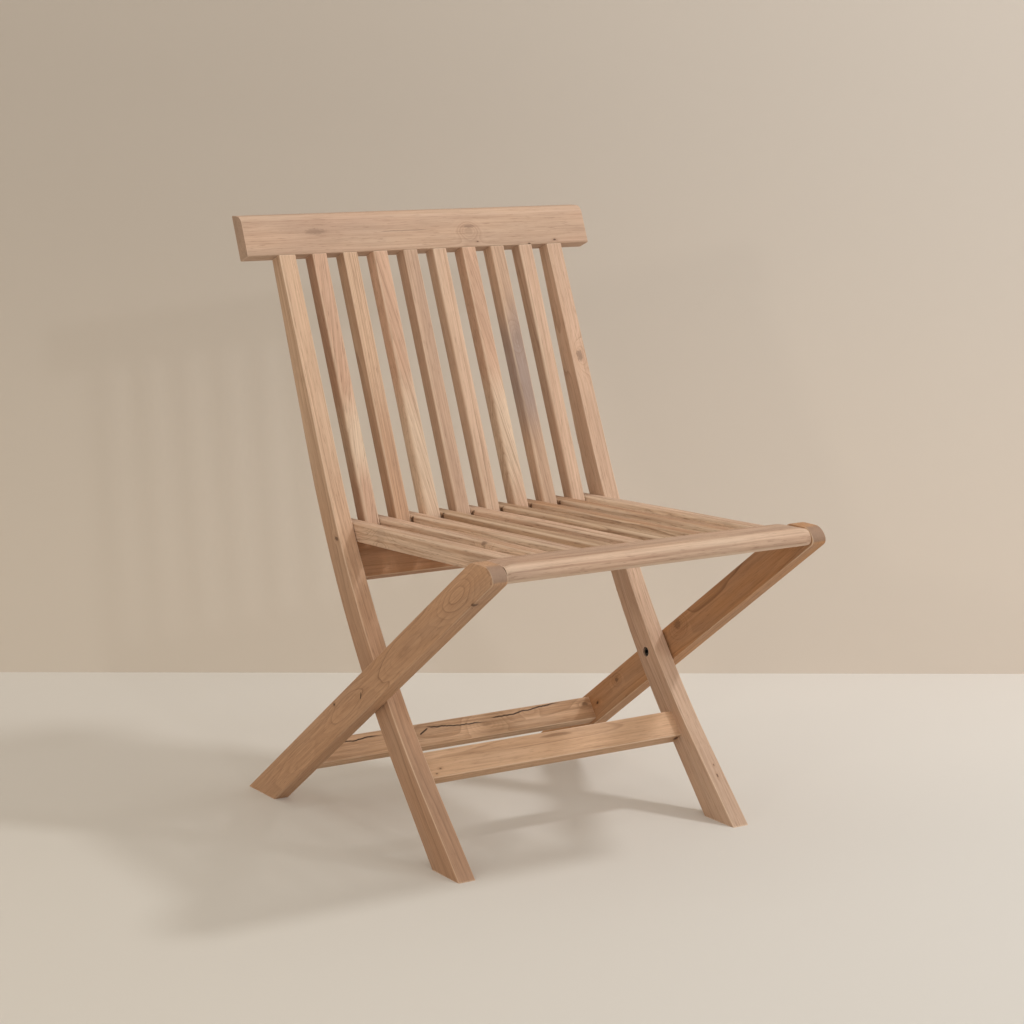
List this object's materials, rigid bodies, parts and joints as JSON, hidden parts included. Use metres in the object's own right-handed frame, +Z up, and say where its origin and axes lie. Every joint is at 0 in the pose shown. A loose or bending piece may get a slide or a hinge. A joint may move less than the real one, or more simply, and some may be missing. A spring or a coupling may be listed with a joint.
{
  "type": "folding slatted chair",
  "caption": "Folding side chair in solid wood with a slatted seat passing between the slats of a raked back, on crossed curved and straight legs.",
  "frame": {"origin": "on the floor under the middle of the open chair, below the axis on which the legs cross", "axes": "+X to the chair's right as the picture shows it, +Y from the seat's front towards the back, +Z up"},
  "size_m": [0.589, 0.688, 0.86],
  "materials": {
    "teak": "sanded, unoiled",
    "stainless_steel": "satin",
    "brass": "machined",
    "nylon": "matte"
  },
  "bodies": {
    "back_frame": {"back_slat_1": "teak", "back_slat_2": "teak", "back_slat_3": "teak", "back_slat_4": "teak", "back_slat_5": "teak", "back_slat_6": "teak", "back_slat_7": "teak", "back_slat_8": "teak", "top_rail": "teak", "lower_back_rail": "teak", "front_stretcher": "teak", "left_long_leg": "teak", "right_long_leg": "teak"},
    "leg_frame": {"rear_stretcher": "teak", "left_short_leg": "teak", "right_short_leg": "teak", "left_pivot_bolt": "stainless_steel", "left_threaded_insert": "brass", "left_leg_washer": "nylon", "left_seat_pin": "stainless_steel", "right_pivot_bolt": "stainless_steel", "right_threaded_insert": "brass", "right_leg_washer": "nylon", "right_seat_pin": "stainless_steel"},
    "seat": {"seat_slat_1": "teak", "seat_slat_2": "teak", "seat_slat_3": "teak", "seat_slat_4": "teak", "seat_slat_5": "teak", "seat_slat_6": "teak", "seat_slat_7": "teak", "seat_slat_8": "teak", "seat_slat_9": "teak", "seat_front_rail": "teak", "seat_batten": "teak", "seat_batten_screws": "stainless_steel"}
  },
  "joints": [
    {"name": "fold", "type": "hinge", "parent": "back_frame", "child": "leg_frame", "pos_m": [0, 0, 0.215], "axis": [-1, 0, 0], "range_deg": [0, 70]},
    {"name": "seat_tilt", "type": "hinge", "parent": "leg_frame", "child": "seat", "pos_m": [0, -0.318, 0.4385], "axis": [1, 0, 0], "range_deg": [0, 144.2]}
  ],
  "couplings": [
    {"joint": "seat_tilt", "follows": "fold", "ratio": 2.06}
  ]
}
